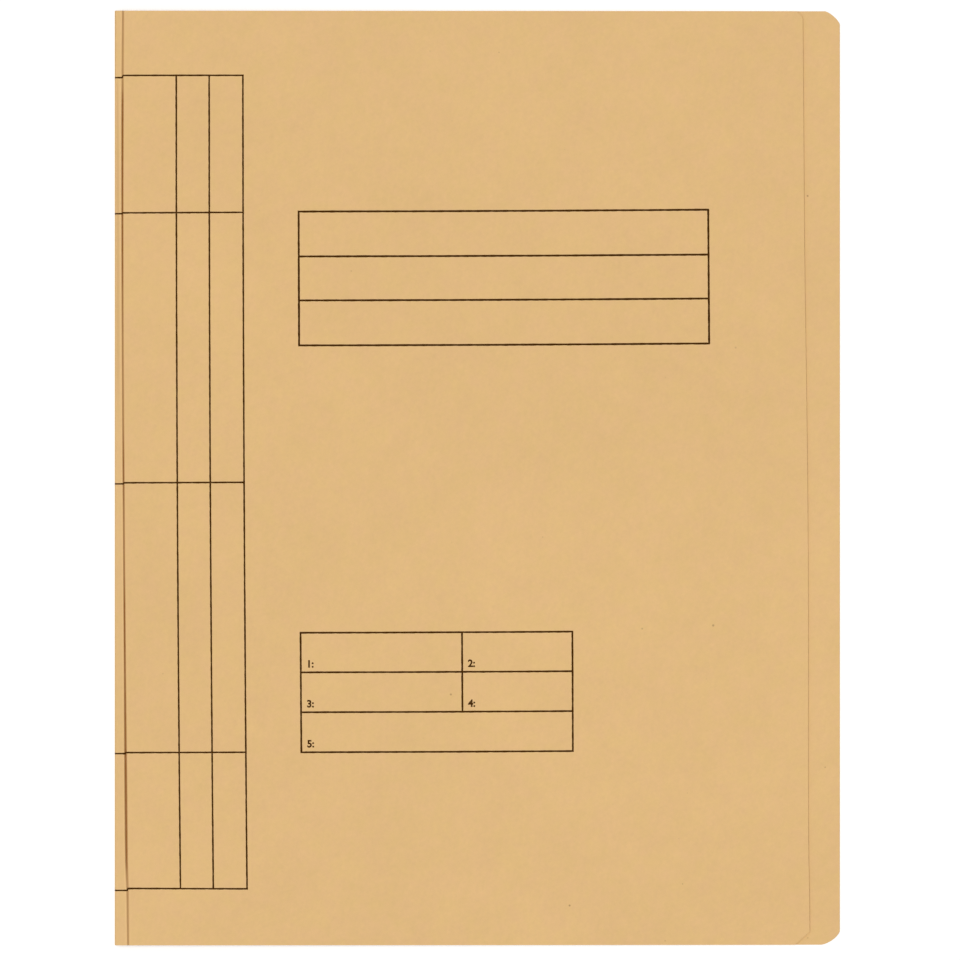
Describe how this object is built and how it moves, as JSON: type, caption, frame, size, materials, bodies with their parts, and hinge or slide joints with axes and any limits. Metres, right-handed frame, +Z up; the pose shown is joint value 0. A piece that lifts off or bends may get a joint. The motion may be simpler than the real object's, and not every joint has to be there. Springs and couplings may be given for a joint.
{
  "type": "manila card file",
  "caption": "Creased manila card file for A4 sheets, with an overlapping front cover and a two-prong steel fastener with slotted bar and sliders inside.",
  "frame": {"origin": "under the middle of the closed file, on the plane that it lies on", "axes": "+X from the spine to the free edge, +Y from the file's foot to its head, +Z up from the back cover to the front cover"},
  "size_m": [0.2468, 0.318, 0.0043],
  "materials": {
    "card": "matte manila card, printed dark brown",
    "strip_card": "matte manila card",
    "steel": "bright tinned sheet steel",
    "eyelet_plate": "nickel plated"
  },
  "bodies": {
    "back": {"back_cover": "card", "binding_strip": "strip_card", "prong_base": "steel", "eyelet_top": "eyelet_plate", "eyelet_bottom": "eyelet_plate", "compressor_bar": "steel"},
    "spine": {"spine_panel": "card"},
    "hinge": {"hinge_panel": "card"},
    "front": {"front_cover": "card"},
    "tongue_top": {"prong_top": "steel"},
    "tongue_bottom": {"prong_bottom": "steel"},
    "lock_top": {"slider_top": "steel"},
    "lock_bottom": {"slider_bottom": "steel"}
  },
  "joints": [
    {"name": "spine_fold", "type": "hinge", "parent": "back", "child": "spine", "pos_m": [-0.12324, 0, 0.00017], "axis": [0, -1, 0], "range_deg": [0, 90]},
    {"name": "edge_fold", "type": "hinge", "parent": "spine", "child": "hinge", "pos_m": [-0.12324, 0, 0.00416], "axis": [0, -1, 0], "range_deg": [0, 75]},
    {"name": "cover_fold", "type": "hinge", "parent": "hinge", "child": "front", "pos_m": [-0.12015, 0, 0.00416], "axis": [0.0069, -1, 0], "range_deg": [0, 15.93]},
    {"name": "prong_top_fold", "type": "hinge", "parent": "back", "child": "tongue_top", "pos_m": [-0.10642, 0.04, 0.00287], "axis": [-1, 0, 0], "range_deg": [0, 90]},
    {"name": "prong_bottom_fold", "type": "hinge", "parent": "back", "child": "tongue_bottom", "pos_m": [-0.10642, -0.04, 0.00287], "axis": [1, 0, 0], "range_deg": [0, 90]},
    {"name": "slider_top_slide", "type": "slide", "parent": "back", "child": "lock_top", "axis": [0, 1, 0], "range_m": [0, 0.024]},
    {"name": "slider_bottom_slide", "type": "slide", "parent": "back", "child": "lock_bottom", "axis": [0, -1, 0], "range_m": [0, 0.024]}
  ],
  "couplings": [
    {"joint": "edge_fold", "follows": "spine_fold", "ratio": 0.83333},
    {"joint": "cover_fold", "follows": "spine_fold", "ratio": 0.177},
    {"joint": "prong_top_fold", "follows": "spine_fold", "ratio": 1},
    {"joint": "prong_bottom_fold", "follows": "spine_fold", "ratio": 1}
  ]
}
